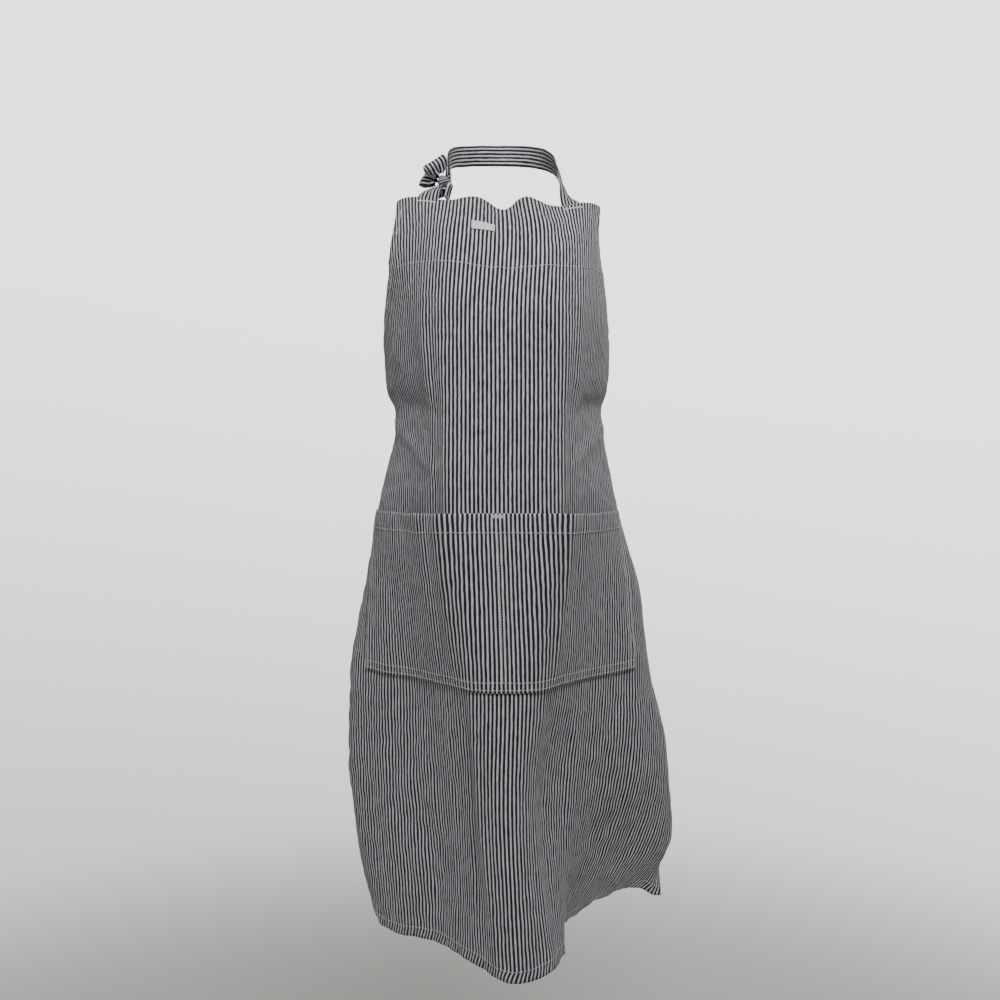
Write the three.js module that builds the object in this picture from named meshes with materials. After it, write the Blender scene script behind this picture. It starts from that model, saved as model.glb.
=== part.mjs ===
// A butcher's bib apron in striped cotton, in the shape it takes when it is worn:
// a cut body panel with a deep bib facing, a wide patch pocket sewn into two
// compartments, a neck strap knotted at one side and waist ties in a bow behind.
// Millimetres, +Z up. +X is the wearer's left, +Y points to the wearer's back.
// The origin is the inside of the neck strap at the nape, which carries the apron.

import * as THREE from 'three';

// ---- Driving dimensions ----

const clothThickness = 1.2;
const layerGap = 0.4; // between two layers of cloth that lie on each other
const threadWidth = 1.2;
const threadThickness = 0.5;
const threadGap = 1.3; // between a line of stitches and the cloth under it

const panelWidth = 690;
const panelLength = 864;
const bibWidth = 280;
const armholeDrop = 270; // bib top to the corner where a waist tie is sewn
const armholeCurve = 2.1; // 1 is a straight slant, more is a deeper scoop
const hemDepth = 12;
const sideHemDepth = 9;
const facingDepth = 97;

const bibTopDrop = 99; // nape to the bib's top edge
const bustDrop = 140; // these three are measured down the cloth from the bib's top
const waistDrop = 255;
const yokeDrop = 60;
const bibSag = 13; // how far the bib's middle hangs below its corners, which the strap holds
const bibSagShift = 12; // the lowest place, from the front centre
const bibSagFoot = 320; // down the cloth to where the sag has gone
const skirtSag = { left: 10, right: 26 }; // how much further the skirt's sides fall by the hem
const skirtSagStart = 120; // from the front centre, and where it is whole
const skirtSagWhole = 240;

const pocketWidth = 434;
const pocketShift = -5; // how far the pocket's centre lies from the panel's
const pocketDrop = 370;
const pocketHeight = 189;
const pocketHemDepth = 20;
const pocketSideStitch = 4;
const pocketRowGap = 8; // between the two rows of stitches along the pocket's foot
const pocketGape = 12; // how far each mouth stands off the panel
const pocketSeat = 1; // clearance under the pocket along its seams
const bartackLength = 12;

const labelWidth = 26;
const labelHeight = 10;
const labelDrop = 46;
const labelShift = -25;
const labelThickness = 0.6;

const strapWidth = 26;
const strapThickness = 1.8;
const strapTackDepth = 20;
const strapSeat = 1.2; // clearance between the facing and the strap's sewn foot
const strapInset = { left: 31, right: 37 }; // bib corner to the strap's outer edge
const neckKnotRadius = [7, 7, 7];
const neckKnotPlace = [-65, -102, -64];

const tieWidth = 25;
const tieThickness = 1.8;
const tieTackDepth = 20;
const tieKnotRadius = [14, 11, 11];
const tieKnotStandOff = 46; // behind the origin
const tieTailLength = 500;
const tailSpacing = 17; // of each tail's centre line from the middle of the back
const knotGap = 0.5;

// ---- The worn shape ----

// Plan outlines of the cloth, seen from above, at set drops below the bib's top.
// Each runs out from the front centre to the left and to the right, and round the
// wearer to the back. Between them the cloth runs smoothly.
const outlines = [
  {
    drop: 0,
    centre: [5, -126],
    left: [[-31, -141], [-70, -126], [-97, -114], [-118, -97], [-138, -38], [-122, 5], [-40, 25]],
    right: [[30, -141], [72, -119], [100, -103], [113, -87], [128, -36], [114, 5], [40, 25]],
  },
  {
    drop: yokeDrop,
    centre: [6, -170],
    left: [[-49, -177], [-91, -148], [-127, -116], [-144, -54], [-122, 0], [-60, 24], [20, 24]],
    right: [[49, -176], [90, -146], [116, -96], [129, -50], [114, 0], [60, 24], [-20, 24]],
  },
  {
    drop: bustDrop,
    centre: [2, -197],
    left: [[-58, -193], [-104, -142], [-139, -68], [-122, -6], [-60, 24], [20, 24]],
    right: [[66, -193], [104, -142], [128, -68], [114, -6], [60, 24], [-20, 24]],
  },
  {
    drop: 0.3 * bustDrop + 0.7 * waistDrop,
    centre: [2, -198],
    left: [[-57, -193], [-97, -138], [-134, -65], [-116, -5], [-56, 23], [20, 23]],
    right: [[64, -193], [98, -140], [128, -65], [112, -5], [56, 23], [-20, 23]],
  },
  {
    drop: waistDrop,
    centre: [2, -198],
    left: [[-54, -194], [-91, -136], [-123, -62], [-106, -4], [-50, 22], [20, 22]],
    right: [[61, -194], [92, -138], [120, -62], [104, -4], [50, 22], [-20, 22]],
  },
  {
    drop: pocketDrop,
    centre: [2, -200],
    left: [[-52, -195], [-96, -133], [-145, -60], [-136, -8], [-84, 26], [0, 30]],
    right: [[60, -195], [96, -136], [140, -60], [134, -8], [84, 26], [0, 30]],
  },
  {
    drop: pocketDrop + 0.45 * pocketHeight,
    centre: [5, -200],
    left: [[-40, -196], [-94, -126], [-159, -52], [-154, -2], [-100, 30], [-10, 32]],
    right: [[50, -196], [96, -127], [161, -52], [163, -4], [120, 28], [24, 32]],
  },
  {
    drop: pocketDrop + pocketHeight,
    centre: [8, -200],
    left: [[-25, -195], [-94, -114], [-179, -40], [-173, 4], [-118, 32], [-30, 34]],
    right: [[38, -195], [99, -116], [175, -40], [180, 2], [148, 30], [60, 34]],
  },
  {
    drop: 0.6 * (pocketDrop + pocketHeight) + 0.4 * panelLength,
    centre: [6, -200],
    left: [[-18, -189], [-53, -136], [-118, -84], [-182, -30], [-176, 10], [-124, 32], [-40, 34]],
    right: [[25, -192], [55, -138], [122, -78], [200, -22], [208, 8], [180, 32], [100, 34]],
  },
  {
    drop: 0.26 * (pocketDrop + pocketHeight) + 0.74 * panelLength,
    centre: [10, -201],
    left: [[-18, -178], [-58, -119], [-120, -76], [-171, -28], [-169, 8], [-120, 30], [-40, 32]],
    right: [[33, -190], [60, -142], [92, -72], [134, -24], [202, 0], [218, 18], [190, 36]],
  },
  {
    drop: panelLength,
    centre: [14, -201],
    left: [[-30, -158], [-76, -100], [-124, -64], [-156, -18], [-148, 14], [-104, 30], [-40, 32]],
    right: [[52, -184], [71, -146], [70, -60], [98, -14], [150, 18], [208, 26], [280, 28]],
  },
];

const vector = ([x, y, z = 0]) => new THREE.Vector3(x, y, z);

// The outline as a curve whose length is counted from the front centre.
function planCurve({ centre, left, right }) {
  const points = [...left.toReversed(), centre, ...right].map(vector);
  const curve = new THREE.CatmullRomCurve3(points, false, 'centripetal');
  curve.arcLengthDivisions = 600;
  const lengths = curve.getLengths();
  const total = lengths[lengths.length - 1];
  const middle = left.length / (points.length - 1);
  const toCentre = lengths[Math.round(middle * curve.arcLengthDivisions)];
  return (across) => {
    const along = toCentre + across;
    const share = THREE.MathUtils.clamp(along / total, 0, 1);
    const point = curve.getPointAt(share);
    const beyond = along - share * total;
    return point.addScaledVector(curve.getTangentAt(share), beyond);
  };
}

const plans = outlines.map(planCurve);
const drops = outlines.map(({ drop }) => drop);

// A smooth value at `drop` from one value at each outline.
function between(values, drop) {
  const last = drops.length - 1;
  let k = 0;
  while (k < last - 1 && drop > drops[k + 1]) k += 1;
  const slope = (i) => {
    const low = Math.max(i - 1, 0);
    const high = Math.min(i + 1, last);
    return (values[high] - values[low]) / (drops[high] - drops[low]);
  };
  const span = drops[k + 1] - drops[k];
  const f = (drop - drops[k]) / span;
  const rise = values[k + 1] - values[k];
  const a = slope(k) * span - rise;
  const b = rise - slope(k + 1) * span;
  return values[k] + rise * f + f * (1 - f) * (a * (1 - f) + b * f);
}

function planPoint(across, drop) {
  const at = plans.map((plan) => plan(across));
  const x = between(at.map((p) => p.x), drop);
  const y = between(at.map((p) => p.y), drop);
  return new THREE.Vector2(x, y);
}

// The cloth doesn't stretch, so where its plan moves out or in it falls less.
const fallStep = 12;
function fallFrom(across, start, end) {
  const steps = Math.max(1, Math.ceil(Math.abs(end - start) / fallStep));
  const step = Math.abs(end - start) / steps;
  let fall = 0;
  let here = planPoint(across, start);
  for (let i = 1; i <= steps; i += 1) {
    const next = planPoint(across, start + ((end - start) * i) / steps);
    const slide = Math.min(next.distanceTo(here), 0.8 * step);
    fall += Math.sqrt(step * step - slide * slide);
    here = next;
  }
  return Math.sign(end - start) * fall;
}

const waistHeight = -bibTopDrop - fallFrom(0, 0, waistDrop);

// The strap pulls the bib's corners up, so the cloth between them hangs a little lower, and
// the skirt's front is thrown forward, so its sides hang lower too.
function sag(across, drop) {
  const side = Math.max(1 - ((across - bibSagShift) / (bibWidth / 2)) ** 2, 0) ** 2;
  const past = THREE.MathUtils.clamp((drop - facingDepth) / (bibSagFoot - facingDepth), 0, 1);
  const down = drop < facingDepth ? 0.3 + (0.7 * drop) / facingDepth
    : (1 + Math.cos(Math.PI * past)) / 2;
  const skirt = THREE.MathUtils.smoothstep(Math.abs(across), skirtSagStart, skirtSagWhole)
    * THREE.MathUtils.smoothstep(drop, pocketDrop + pocketHeight, panelLength);
  return bibSag * side * down + (across < 0 ? skirtSag.left : skirtSag.right) * skirt;
}

function wornPoint(across, drop) {
  const plan = planPoint(across, drop);
  const height = waistHeight - fallFrom(across, waistDrop, drop) - sag(across, drop);
  return new THREE.Vector3(plan.x, plan.y, height);
}

function halfWidth(drop) {
  const share = Math.min(drop / armholeDrop, 1) ** armholeCurve;
  return bibWidth / 2 + ((panelWidth - bibWidth) / 2) * share;
}

// ---- The body panel's grid, which every sewn piece lies on ----

const panelColumns = 38;
const panelRows = [
  0, strapTackDepth, 46, facingDepth, 108, bustDrop, 172, 204, 236, armholeDrop,
  armholeDrop + tieWidth, 0.3 * armholeDrop + 0.7 * pocketDrop, pocketDrop,
  pocketDrop + pocketHemDepth, pocketDrop + 0.4 * pocketHeight,
  pocketDrop + 0.7 * pocketHeight, pocketDrop + pocketHeight,
].concat([0.2, 0.4, 0.6, 0.8].map((share) => THREE.MathUtils.lerp(
  pocketDrop + pocketHeight, panelLength - hemDepth, share,
)), panelLength - hemDepth, panelLength);

function normalsOf(grid) {
  const rows = grid.length;
  const columns = grid[0].length;
  return grid.map((row, j) => row.map((_, i) => {
    const right = grid[j][Math.min(i + 1, columns - 1)];
    const left = grid[j][Math.max(i - 1, 0)];
    const lower = grid[Math.min(j + 1, rows - 1)][i];
    const upper = grid[Math.max(j - 1, 0)][i];
    const across = right.clone().sub(left);
    const down = lower.clone().sub(upper);
    return down.cross(across).normalize();
  }));
}

const panelGrid = panelRows.map((drop) => {
  const half = halfWidth(drop);
  return Array.from({ length: panelColumns + 1 }, (_, i) => (
    wornPoint(half * ((2 * i) / panelColumns - 1), drop)
  ));
});
const panelNormals = normalsOf(panelGrid);

// A point of the panel's outer face, `out` millimetres proud of it.
function onPanel(across, drop, out = 0) {
  let j = 0;
  while (j < panelRows.length - 2 && drop > panelRows[j + 1]) j += 1;
  const down = (drop - panelRows[j]) / (panelRows[j + 1] - panelRows[j]);
  const share = (across / halfWidth(drop) + 1) / 2;
  const column = THREE.MathUtils.clamp(share, 0, 1) * panelColumns;
  const i = Math.min(Math.floor(column), panelColumns - 1);
  // Each cell is two triangles, split from its upper left to its lower right.
  const over = column - i;
  const mix = (grid) => {
    const corner = down > over ? grid[j + 1][i] : grid[j][i + 1];
    return new THREE.Vector3()
      .addScaledVector(grid[j][i], 1 - Math.max(down, over))
      .addScaledVector(corner, Math.abs(down - over))
      .addScaledVector(grid[j + 1][i + 1], Math.min(down, over));
  };
  return mix(panelGrid).addScaledVector(mix(panelNormals).normalize(), out);
}

// The panel's own grid lines between two places, with both ends.
function columnsBetween(low, high, drop) {
  const half = halfWidth(drop);
  const lines = Array.from({ length: panelColumns + 1 }, (_, i) => (
    half * ((2 * i) / panelColumns - 1)
  ));
  return [low, ...lines.filter((x) => x > low + 1 && x < high - 1), high];
}

function rowsBetween(low, high) {
  return [low, ...panelRows.filter((t) => t > low + 1 && t < high - 1), high];
}

// The same rows with `extra` more in each gap, for what runs down the cloth.
function closeRows(low, high, extra = 4) {
  const rows = rowsBetween(low, high);
  return rows.slice(1).reduce((all, next, k) => {
    const step = (next - rows[k]) / (extra + 1);
    return [...all, ...Array.from({ length: extra + 1 }, (_, n) => rows[k] + step * (n + 1))];
  }, [low]);
}

// ---- Closed solids from grids of points ----

const group = new THREE.Group();

const stripedCotton = new THREE.MeshStandardMaterial({
  color: 0x6f7276, roughness: 0.9, metalness: 0,
});
const whiteThread = new THREE.MeshStandardMaterial({
  color: 0xdfe1e4, roughness: 0.8, metalness: 0,
});
const wovenLabel = new THREE.MeshStandardMaterial({
  color: 0xe9eaee, roughness: 0.7, metalness: 0,
});

function addMesh(name, geometry, material) {
  const mesh = new THREE.Mesh(geometry, material);
  mesh.name = name;
  group.add(mesh);
}

// A front and a back face, each a grid of the same size, closed round the rim.
function solidBetween(front, back) {
  const rows = front.length;
  const columns = front[0].length;
  const positions = [...front.flat(), ...back.flat()].flatMap((p) => p.toArray());
  const count = rows * columns;
  const at = (j, i) => j * columns + i;
  const index = [];
  const quad = (a, b, c, d) => index.push(a, b, c, a, c, d);
  for (let j = 0; j < rows - 1; j += 1) {
    for (let i = 0; i < columns - 1; i += 1) {
      const [a, b, c, d] = [at(j, i), at(j + 1, i), at(j + 1, i + 1), at(j, i + 1)];
      quad(a, b, c, d);
      index.push(count + a, count + c, count + b, count + a, count + d, count + c);
    }
  }
  const rim = [];
  for (let j = 0; j < rows - 1; j += 1) rim.push(at(j, 0));
  for (let i = 0; i < columns - 1; i += 1) rim.push(at(rows - 1, i));
  for (let j = rows - 1; j > 0; j -= 1) rim.push(at(j, columns - 1));
  for (let i = columns - 1; i > 0; i -= 1) rim.push(at(0, i));
  rim.forEach((a, k) => {
    const b = rim[(k + 1) % rim.length];
    quad(count + a, count + b, b, a);
  });
  const geometry = new THREE.BufferGeometry();
  geometry.setAttribute('position', new THREE.Float32BufferAttribute(positions, 3));
  geometry.setIndex(index);
  geometry.computeVertexNormals();
  return geometry;
}

// A layer of cloth on the panel: `low` and `high` are its faces' stand-off.
function layer(acrosses, dropsDown, low, high) {
  const face = (out) => dropsDown.map((t) => acrosses(t).map((s) => (
    onPanel(s, t, typeof out === 'function' ? out(s, t) : out)
  )));
  return solidBetween(face(high), face(low));
}

// A free strip of cloth: a grid of points on its middle, thickened both ways.
function strip(grid, thickness) {
  const normals = normalsOf(grid);
  const face = (out) => grid.map((row, j) => row.map((p, i) => (
    p.clone().addScaledVector(normals[j][i], out)
  )));
  return solidBetween(face(thickness / 2), face(-thickness / 2));
}

const stripColumns = 3;
const sharesAcross = Array.from({ length: stripColumns + 1 }, (_, i) => i / stripColumns - 0.5);

// Rows of a strip along a smooth path. Each stop has a place, the direction of
// the strip's width there, and the width.
function pathRows(stops, steps) {
  const curve = new THREE.CatmullRomCurve3(
    stops.map(({ at }) => at.clone()), false, 'centripetal',
  );
  const last = stops.length - 1;
  return Array.from({ length: steps + 1 }, (_, n) => {
    const place = (n / steps) * last;
    const k = Math.min(Math.floor(place), last - 1);
    const f = place - k;
    const eased = f * f * (3 - 2 * f);
    const side = stops[k].side.clone().lerp(stops[k + 1].side, eased).normalize();
    const width = THREE.MathUtils.lerp(stops[k].width, stops[k + 1].width, eased);
    const middle = curve.getPoint(n / steps);
    return sharesAcross.map((share) => middle.clone().addScaledVector(side, share * width));
  });
}

const stop = (at, side, width) => ({ at: vector(at), side: vector(side).normalize(), width });

// ---- Body panel and bib facing ----

addMesh('body_panel', layer(
  (t) => columnsBetween(-halfWidth(t), halfWidth(t), t), panelRows, -clothThickness, 0,
), stripedCotton);

const facingFront = -clothThickness - layerGap;
const facingBack = facingFront - clothThickness;
addMesh('bib_facing', layer(
  (t) => columnsBetween(-halfWidth(t), halfWidth(t), t),
  rowsBetween(0, facingDepth), facingBack, facingFront,
), stripedCotton);

// ---- Pocket ----

const pocketLeft = pocketShift - pocketWidth / 2;
const pocketRight = pocketShift + pocketWidth / 2;
const pocketFoot = pocketDrop + pocketHeight;
const pocketCentre = pocketShift;

// Each compartment stands off the panel between its seams, most at the mouth.
function gape(across, drop) {
  const half = pocketWidth / 2 - pocketSideStitch;
  const inCompartment = Math.min(Math.abs(across - pocketCentre) / half, 1);
  const down = (drop - pocketDrop) / pocketHeight;
  const bulge = Math.sin(Math.PI * inCompartment) * Math.cos((Math.PI / 2) * Math.min(down, 1));
  return pocketSeat + pocketGape * Math.max(bulge, 0);
}

// The pocket takes the panel's grid lines, halved, and its own seams.
function pocketColumns(t) {
  const seams = [pocketLeft, pocketCentre, pocketRight];
  return seams.slice(1).flatMap((high, k) => {
    const lines = columnsBetween(seams[k], high, t);
    return k === 0 ? lines.slice(0, -1) : lines;
  });
}

addMesh('pocket_panel', layer(
  pocketColumns, rowsBetween(pocketDrop, pocketFoot),
  gape, (s, t) => gape(s, t) + clothThickness,
), stripedCotton);

// ---- Label ----

const labelTurn = THREE.MathUtils.degToRad(-2);
function labelPoint(x, y, out) {
  const across = labelShift + x * Math.cos(labelTurn) - y * Math.sin(labelTurn);
  const drop = labelDrop + x * Math.sin(labelTurn) + y * Math.cos(labelTurn);
  return onPanel(across, drop, out);
}
const labelFace = (out) => [-0.5, 0, 0.5].map((v) => [-0.5, -0.25, 0, 0.25, 0.5].map((u) => (
  labelPoint(u * labelWidth, v * labelHeight, out)
)));
const labelOut = 0.9; // enough to clear the panel's facets under it
addMesh('bib_label', solidBetween(
  labelFace(labelOut + labelThickness), labelFace(labelOut),
), wovenLabel);

// ---- Lines of stitches, each a flat thread bead on the outer face ----

const beadLow = threadGap;
const beadHigh = threadGap + threadThickness;

// Along the cloth from side to side, at one drop; `lift` is what lies under it.
function acrossStitch(name, low, high, drop, lift = () => 0) {
  const rows = [drop - threadWidth / 2, drop + threadWidth / 2];
  addMesh(name, layer(
    () => columnsBetween(low, high, drop), rows,
    (s, t) => lift(s, t) + beadLow, (s, t) => lift(s, t) + beadHigh,
  ), whiteThread);
}

// Down the cloth, at a place across it that may change with the drop.
function downStitch(name, place, top, foot, lift = () => 0) {
  const columns = (t) => [place(t) - threadWidth / 2, place(t) + threadWidth / 2];
  addMesh(name, layer(
    columns, closeRows(top, foot),
    (s, t) => lift(s, t) + beadLow, (s, t) => lift(s, t) + beadHigh,
  ), whiteThread);
}

const facingEdge = halfWidth(facingDepth) - 2;
acrossStitch('facing_stitch', -facingEdge, facingEdge, facingDepth - 3);
const hemEdge = panelWidth / 2 - 2;
acrossStitch('bottom_hem_stitch', -hemEdge, hemEdge, panelLength - hemDepth);

const onPocket = (s, t) => gape(s, t) + clothThickness;
const pocketInner = [pocketLeft + pocketSideStitch, pocketRight - pocketSideStitch];
acrossStitch(
  'pocket_hem_stitch', pocketLeft + 2, pocketRight - 2, pocketDrop + pocketHemDepth, onPocket,
);
[['lower', 3], ['upper', 3 + pocketRowGap]].forEach(([row, up]) => acrossStitch(
  `pocket_foot_stitch_${row}`, pocketInner[0] + 2, pocketInner[1] - 2, pocketFoot - up, onPocket,
));

const tackWidth = 2;
const bartackDrop = pocketDrop + 2;
const seamTop = bartackDrop + 2 * tackWidth;
const hemLine = pocketDrop + pocketHemDepth;
const hemClear = threadWidth + 1;
const footClear = 3 + pocketRowGap + threadWidth;
[['left', pocketLeft + 1, 1], ['right', pocketRight - 1, -1]].forEach(([side, edge]) => {
  downStitch(`pocket_side_stitch_${side}`, () => edge, seamTop, pocketFoot - 2, onPocket);
});
downStitch(
  'pocket_divider_stitch', () => pocketCentre, hemLine + hemClear, pocketFoot - footClear, onPocket,
);

// Dense bars of thread where the pocket's mouth takes the strain.
function bartack(name, centre, length, drop, lift) {
  const rows = [drop - tackWidth / 2, drop + tackWidth / 2];
  addMesh(name, layer(
    () => columnsBetween(centre - length / 2, centre + length / 2, drop), rows,
    (s, t) => lift(s, t) + beadLow, (s, t) => lift(s, t) + beadHigh,
  ), whiteThread);
}
bartack('pocket_bartack_centre', pocketCentre, bartackLength, bartackDrop, onPocket);
bartack('pocket_bartack_left', pocketLeft + 6, bartackLength - 2, bartackDrop, onPocket);
bartack('pocket_bartack_right', pocketRight - 6, bartackLength - 2, bartackDrop, onPocket);

// Turned hems down the armholes and the sides.
[['left', -1], ['right', 1]].forEach(([side, sign]) => {
  const inset = (t) => sign * (halfWidth(t) - sideHemDepth);
  const hemTop = strapTackDepth;
  const meeting = armholeDrop + tieWidth / 2;
  downStitch(`armhole_hem_stitch_${side}`, inset, hemTop, facingDepth - 6);
  downStitch(`armhole_hem_stitch_lower_${side}`, inset, facingDepth, armholeDrop - 4);
  downStitch(`side_hem_stitch_${side}`, inset, meeting + tieWidth, panelLength - hemDepth - 3);
});

// ---- Neck strap ----

const behindFacing = facingBack - strapSeat - strapThickness / 2;

// A strip that is sewn inside the bib's top and leaves upwards along `stops`.
function neckStrap(name, outerEdge, stops, steps) {
  const middle = outerEdge - Math.sign(outerEdge) * (strapWidth / 2);
  const sewn = [strapTackDepth, strapTackDepth / 2, 0].map((t) => sharesAcross.map((share) => (
    onPanel(middle + share * strapWidth, t, behindFacing)
  )));
  const top = sewn[sewn.length - 1];
  const start = {
    at: top[0].clone().lerp(top[stripColumns], 0.5),
    side: top[stripColumns].clone().sub(top[0]).normalize(),
    width: strapWidth,
  };
  const free = pathRows([start, ...stops], steps).slice(1);
  addMesh(name, strip([...sewn, ...free], strapThickness), stripedCotton);
}

const neckKnot = vector(neckKnotPlace);
const knotEdge = (direction, radii, centre) => {
  const unit = vector(direction).normalize();
  const reach = 1 / Math.hypot(...unit.toArray().map((c, i) => c / radii[i]));
  return centre.clone().addScaledVector(unit, reach + knotGap + strapThickness / 2);
};
const atKnot = (direction, side, width) => ({
  at: knotEdge(direction, neckKnotRadius, neckKnot), side: vector(side).normalize(), width,
});
const strapGathered = 12;

neckStrap('neck_strap_left', -(bibWidth / 2 - strapInset.left), [
  stop([-79, -113, -79], [1, -0.35, 0.1], strapWidth - 3),
  atKnot([-0.4, -0.15, -0.9], [1, -0.4, -0.2], strapGathered + 3),
], 6);

const nape = strapThickness / 2;
neckStrap('neck_strap_right', bibWidth / 2 - strapInset.right, [
  stop([73, -101, -72], [0.5, 0.7, -0.5], strapWidth - 2),
  stop([70, -80, -52], [0.22, 0.68, -0.7], strapWidth),
  stop([62, -50, -26], [0.15, 0.5, -0.85], strapWidth),
  stop([38, -13, -6], [0.05, 0.1, -1], strapWidth),
  stop([0, nape, 0], [0, 0, -1], strapWidth),
  stop([-38, -13, -5], [-0.05, 0, -1], strapWidth),
  stop([-60, -46, -20], [0, 0.2, -1], strapWidth - 2),
  atKnot([0.7, 0.7, 0.35], [0.2, 0.3, -1], strapGathered),
], 26);

function knot(name, radii, centre) {
  const ball = new THREE.SphereGeometry(1, 12, 8);
  ball.scale(...radii);
  ball.translate(...centre.toArray());
  addMesh(name, ball, stripedCotton);
}
knot('neck_knot', neckKnotRadius, neckKnot);

// A bow's loop: out along `direction`, round, and back to the knot.
function bowLoop(name, centre, radii, direction, spread, side, length, fatness, width) {
  const out = vector(direction).normalize();
  const open = vector(spread).normalize();
  const reach = 1 / Math.hypot(...out.toArray().map((c, i) => c / radii[i]));
  const root = reach + knotGap + strapThickness;
  const leg = (along, wide) => centre.clone().addScaledVector(out, along).addScaledVector(open, wide);
  const across = vector(side).normalize();
  const shape = [
    [root, 2, 0.55], [root + 0.3 * length, 0.75, 0.9], [root + 0.7 * length, 1, 1],
    [root + length, 0, 1],
  ];
  const there = shape.map(([along, wide, share], k) => ({
    at: leg(along, k === 0 ? wide : wide * fatness), side: across, width: share * width,
  }));
  const back = shape.slice(0, -1).toReversed().map(([along, wide, share]) => ({
    at: leg(along, along === root ? -wide : -wide * fatness), side: across, width: share * width,
  }));
  addMesh(name, strip(pathRows([...there, ...back], 14), strapThickness), stripedCotton);
}

bowLoop('neck_bow_loop_upper', neckKnot, neckKnotRadius,
  [-0.42, -0.5, 0.76], [0.3, -0.9, -0.15], [0.83, 0.1, 0.55], 16, 5, 27);
bowLoop('neck_bow_loop_outer', neckKnot, neckKnotRadius,
  [-0.9, 0.25, 0.25], [0.2, 0.95, -0.1], [0.42, 0.1, 0.85], 16, 4, 21);

// The strap's cut ends, which hang short from the knot.
const strapEnds = {
  front: { leaves: [0.85, 0.1, -0.3], side: [0.2, 1, -0.1], reach: [-4, 0, -18] },
  back: { leaves: [-0.2, 1, -0.25], side: [0.8, 0.3, 0.4], reach: [-6, 13, -12] },
};
Object.entries(strapEnds).forEach(([name, { leaves, side, reach }]) => {
  const start = atKnot(leaves, side, strapGathered);
  const end = { ...start, at: start.at.clone().add(vector(reach)), width: strapWidth - 6 };
  const middle = start.at.clone().lerp(end.at, 0.5).add(vector([0, 0, 2]));
  const mid = { ...start, at: middle, width: strapGathered + 4 };
  addMesh(`neck_strap_end_${name}`, strip(pathRows([start, mid, end], 5), strapThickness),
    stripedCotton);
});

// Stitches that hold the strap's foot, seen on the bib's outer face.
const tackDrop = 7;
[['left', -1], ['right', 1]].forEach(([side, sign]) => {
  const outer = bibWidth / 2 - strapInset[side];
  const centre = sign * (outer - strapWidth / 2);
  bartack(`neck_strap_tack_${side}`, centre, strapWidth - 1, tackDrop, () => 0);
});

// ---- Waist ties and bow ----

const tieMiddle = armholeDrop + tieWidth / 2;
const insidePanel = -clothThickness - layerGap - tieThickness / 2;
const tieHeight = onPanel(0, tieMiddle).z - 6;
const tieKnot = new THREE.Vector3(0, tieKnotStandOff, tieHeight);
const tieGathered = 13;

[['left', -1], ['right', 1]].forEach(([name, sign]) => {
  const edge = panelWidth / 2;
  const sewn = [edge - tieTackDepth, edge - tieTackDepth / 2, edge].map((s) => (
    sharesAcross.map((share) => onPanel(sign * s, tieMiddle + share * tieWidth, insidePanel))
  ));
  const end = sewn[2];
  const start = {
    at: end[0].clone().lerp(end[stripColumns], 0.5),
    side: end[stripColumns].clone().sub(end[0]).normalize(),
    width: tieWidth,
  };
  const along = start.at.clone().sub(sewn[0][0].clone().lerp(sewn[0][stripColumns], 0.5)).normalize();
  const first = {
    at: start.at.clone().addScaledVector(along, 8), side: start.side, width: tieWidth,
  };
  const finish = {
    at: knotEdge([sign, -0.6, 0], tieKnotRadius, tieKnot),
    side: vector([0, 0, -1]), width: tieGathered,
  };
  const free = pathRows([start, first, finish], 6).slice(1);
  addMesh(`waist_tie_${name}`, strip([...sewn, ...free], tieThickness), stripedCotton);

  const tack = edge - tieTackDepth / 2;
  const top = tieMiddle - tieWidth / 2 + 2;
  downStitch(`waist_tie_tack_${name}`, () => sign * tack, top, top + tieWidth - 4);
});

knot('waist_knot', tieKnotRadius, tieKnot);

[['left', -1], ['right', 1]].forEach(([name, sign]) => {
  bowLoop(`waist_bow_loop_${name}`, tieKnot, tieKnotRadius,
    [sign, 0.3, -0.12], [0, 1, 0], [0, 0, 1], 74, 12, tieWidth);

  const x = sign * tailSpacing;
  const top = tieKnot.z - tieKnotRadius[2] - knotGap - 1;
  const tailStop = (dx, dy, down, width) => stop(
    [x + sign * dx, tieKnotStandOff + dy, top - down], [1, 0, 0], width,
  );
  addMesh(`waist_tie_tail_${name}`, strip(pathRows([
    tailStop(-8, 0, 0, tieGathered), tailStop(-1, 1, 40, tieWidth - 3),
    tailStop(3, 0, 0.4 * tieTailLength, tieWidth), tailStop(9, 0, tieTailLength, tieWidth),
  ], 14), tieThickness), stripedCotton);
});

export default group;
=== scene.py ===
# A butcher's bib apron in narrow-striped cotton drill, shown in the shape it takes when it
# is worn. It is built in the order it is sewn: body panel, bib facing, pocket, label,
# stitching, neck strap and waist ties. All places are in metres in the part's own frame:
# +X is the wearer's left, +Y the wearer's back, and the nape of the neck is the origin.
import math

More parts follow.
